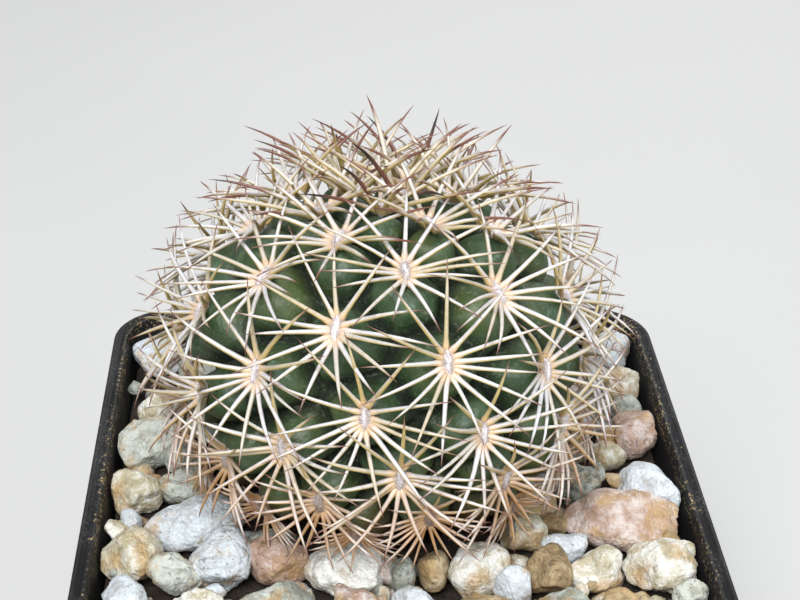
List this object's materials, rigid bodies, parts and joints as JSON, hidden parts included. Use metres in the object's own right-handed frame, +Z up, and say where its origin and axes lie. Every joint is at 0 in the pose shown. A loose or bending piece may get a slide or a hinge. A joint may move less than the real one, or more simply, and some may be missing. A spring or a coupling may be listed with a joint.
{
  "type": "potted coryphantha",
  "caption": "Round coryphantha cactus, its tubercles tipped with fans of ivory spines, in a square tapered black plastic pot of soil topped with mixed quartz gravel.",
  "frame": {"origin": "on the surface that the pot stands on, under the middle of its rim", "axes": "+Z up; the pot's sides face along X and Y; the plant leans back a little towards +Y"},
  "size_m": [0.08, 0.08, 0.1256],
  "materials": {
    "pot_plastic": "satin black with dust",
    "soil": "rough",
    "stem_skin": "satin with a grey bloom",
    "spine": "satin",
    "stone_white": "rough",
    "stone_cream": "rough",
    "stone_rose": "rough",
    "stone_ochre": "rough",
    "stone_grey": "rough"
  },
  "bodies": {
    "root": {"pot": "pot_plastic", "potting_soil": "soil", "stem": "stem_skin", "spines": "spine", "stone_01": "stone_white", "stone_02": "stone_grey", "stone_03": "stone_grey", "stone_04": "stone_cream", "stone_05": "stone_grey", "stone_06": "stone_cream", "stone_07": "stone_white", "stone_08": "stone_white", "stone_09": "stone_grey", "stone_10": "stone_white", "stone_11": "stone_cream", "stone_12": "stone_rose", "stone_13": "stone_grey", "stone_14": "stone_cream", "stone_15": "stone_white", "stone_16": "stone_ochre", "stone_17": "stone_cream", "stone_18": "stone_white", "stone_19": "stone_cream", "stone_20": "stone_white", "stone_21": "stone_ochre", "stone_22": "stone_cream", "stone_23": "stone_ochre", "stone_24": "stone_rose", "stone_25": "stone_white", "stone_26": "stone_cream", "stone_27": "stone_grey", "stone_28": "stone_rose", "stone_29": "stone_grey", "stone_30": "stone_cream", "stone_31": "stone_ochre", "stone_32": "stone_grey", "stone_33": "stone_cream", "stone_34": "stone_white", "stone_35": "stone_cream", "stone_36": "stone_grey", "stone_37": "stone_cream", "stone_38": "stone_white", "stone_39": "stone_grey", "stone_40": "stone_rose", "stone_41": "stone_cream", "stone_42": "stone_ochre", "stone_43": "stone_cream", "stone_44": "stone_white", "stone_45": "stone_grey", "stone_46": "stone_rose", "stone_47": "stone_cream", "stone_48": "stone_ochre", "stone_49": "stone_cream", "stone_50": "stone_white", "stone_51": "stone_grey", "stone_52": "stone_rose", "stone_53": "stone_cream", "stone_54": "stone_ochre", "stone_55": "stone_cream", "stone_56": "stone_white"}
  },
  "joints": []
}
